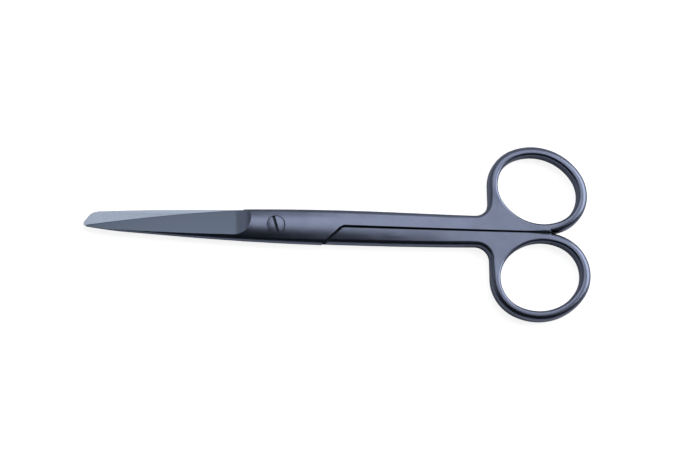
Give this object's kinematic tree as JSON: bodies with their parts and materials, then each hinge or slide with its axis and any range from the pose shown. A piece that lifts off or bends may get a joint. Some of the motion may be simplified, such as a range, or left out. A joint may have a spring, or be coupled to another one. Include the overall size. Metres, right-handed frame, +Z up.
{
  "type": "operating scissors",
  "caption": "Straight operating scissors with one sharp and one blunt blade, domed shanks, oval finger rings and a slotted pivot screw; opens and closes.",
  "frame": {"origin": "on the pivot axis, in the plane of the ground flat on the joint's back, which is the plane the scissors lie on", "axes": "+X along the closed scissors from the pivot to the finger rings, +Z up along the pivot axis to the screw's head, +Y to the ring of the front half"},
  "size_m": [0.1448, 0.052, 0.0048],
  "materials": {
    "steel_half": "satin glass-bead and belt finish, bluish grey",
    "steel_screw": "satin, turned"
  },
  "bodies": {
    "rear_half": {"rear_half": "steel_half", "pivot_screw": "steel_screw"},
    "front_half": {"front_half": "steel_half"}
  },
  "joints": [
    {"name": "blade_pivot", "type": "hinge", "parent": "rear_half", "child": "front_half", "pos_m": [0, 0, 0.00235], "axis": [0, 0, 1], "range_deg": [0, 140]}
  ]
}
